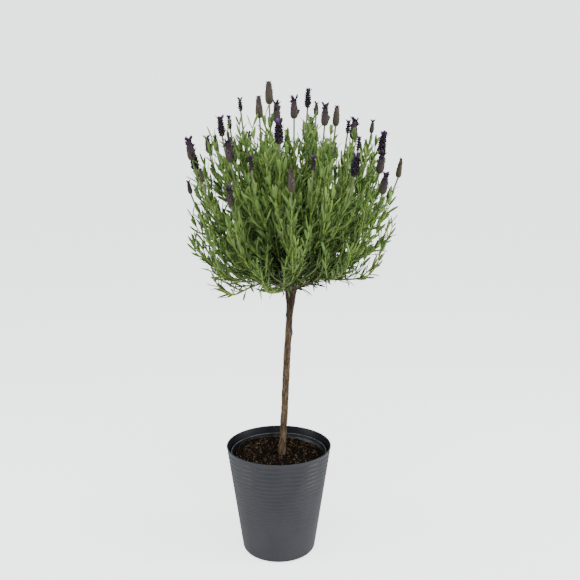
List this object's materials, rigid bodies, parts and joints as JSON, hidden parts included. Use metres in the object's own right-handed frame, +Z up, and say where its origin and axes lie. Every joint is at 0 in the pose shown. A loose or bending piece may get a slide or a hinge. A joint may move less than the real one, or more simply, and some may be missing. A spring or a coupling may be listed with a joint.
{
  "type": "potted lavender",
  "caption": "Standard lavender: a bare woody stem with a round leafy head and dark flower spikes, in a nursery pot inside a ribbed cover pot.",
  "frame": {"origin": "centre of the underside of the cover pot, on the surface it stands on", "axes": "+Z up along the pot's axis towards the flowers, +Y to the back, +X to the right seen from the front"},
  "size_m": [0.3554, 0.3683, 0.8172],
  "materials": {
    "cover_plastic": "moulded anthracite polypropylene with a soft sheen, ribbed over the upper two thirds",
    "nursery_plastic": "thin black moulded plastic, its rim scuffed pale grey",
    "compost": "moist dark peat and bark compost with pale specks",
    "bark": "fibrous grey-brown bark, split lengthwise",
    "foliage": "matt leaves from fresh yellow-green to grey-green, on green square shoots",
    "bloom": "matt papery bracts and florets, brown-purple to near-black"
  },
  "bodies": {
    "root": {"cover_pot": "cover_plastic", "nursery_pot": "nursery_plastic", "potting_compost": "compost", "woody_stem": "bark", "branch_01": "foliage", "branch_02": "foliage", "branch_03": "foliage", "branch_04": "foliage", "branch_05": "foliage", "branch_06": "foliage", "branch_07": "foliage", "branch_08": "foliage", "branch_09": "foliage", "branch_10": "foliage", "branch_11": "foliage", "branch_12": "foliage", "branch_13": "foliage", "branch_14": "foliage", "flower_spike_01": "bloom", "flower_spike_02": "bloom", "flower_spike_03": "bloom", "flower_spike_04": "bloom", "flower_spike_05": "bloom", "flower_spike_06": "bloom", "flower_spike_07": "bloom", "flower_spike_08": "bloom", "flower_spike_09": "bloom", "flower_spike_10": "bloom", "flower_spike_11": "bloom", "flower_spike_12": "bloom", "flower_spike_13": "bloom", "flower_spike_14": "bloom", "flower_spike_15": "bloom", "flower_spike_16": "bloom", "flower_spike_17": "bloom", "flower_spike_18": "bloom", "flower_spike_19": "bloom", "flower_spike_20": "bloom", "flower_spike_21": "bloom", "flower_spike_22": "bloom", "flower_spike_23": "bloom", "flower_spike_24": "bloom", "flower_spike_25": "bloom", "flower_spike_26": "bloom", "flower_spike_27": "bloom", "flower_spike_28": "bloom", "flower_spike_29": "bloom", "flower_spike_30": "bloom", "flower_spike_31": "bloom", "flower_spike_32": "bloom", "flower_spike_33": "bloom", "flower_spike_34": "bloom", "flower_spike_35": "bloom", "flower_spike_36": "bloom", "flower_spike_37": "bloom", "flower_spike_38": "bloom", "flower_spike_39": "bloom", "flower_spike_40": "bloom", "flower_spike_41": "bloom", "flower_spike_42": "bloom"}
  },
  "joints": []
}
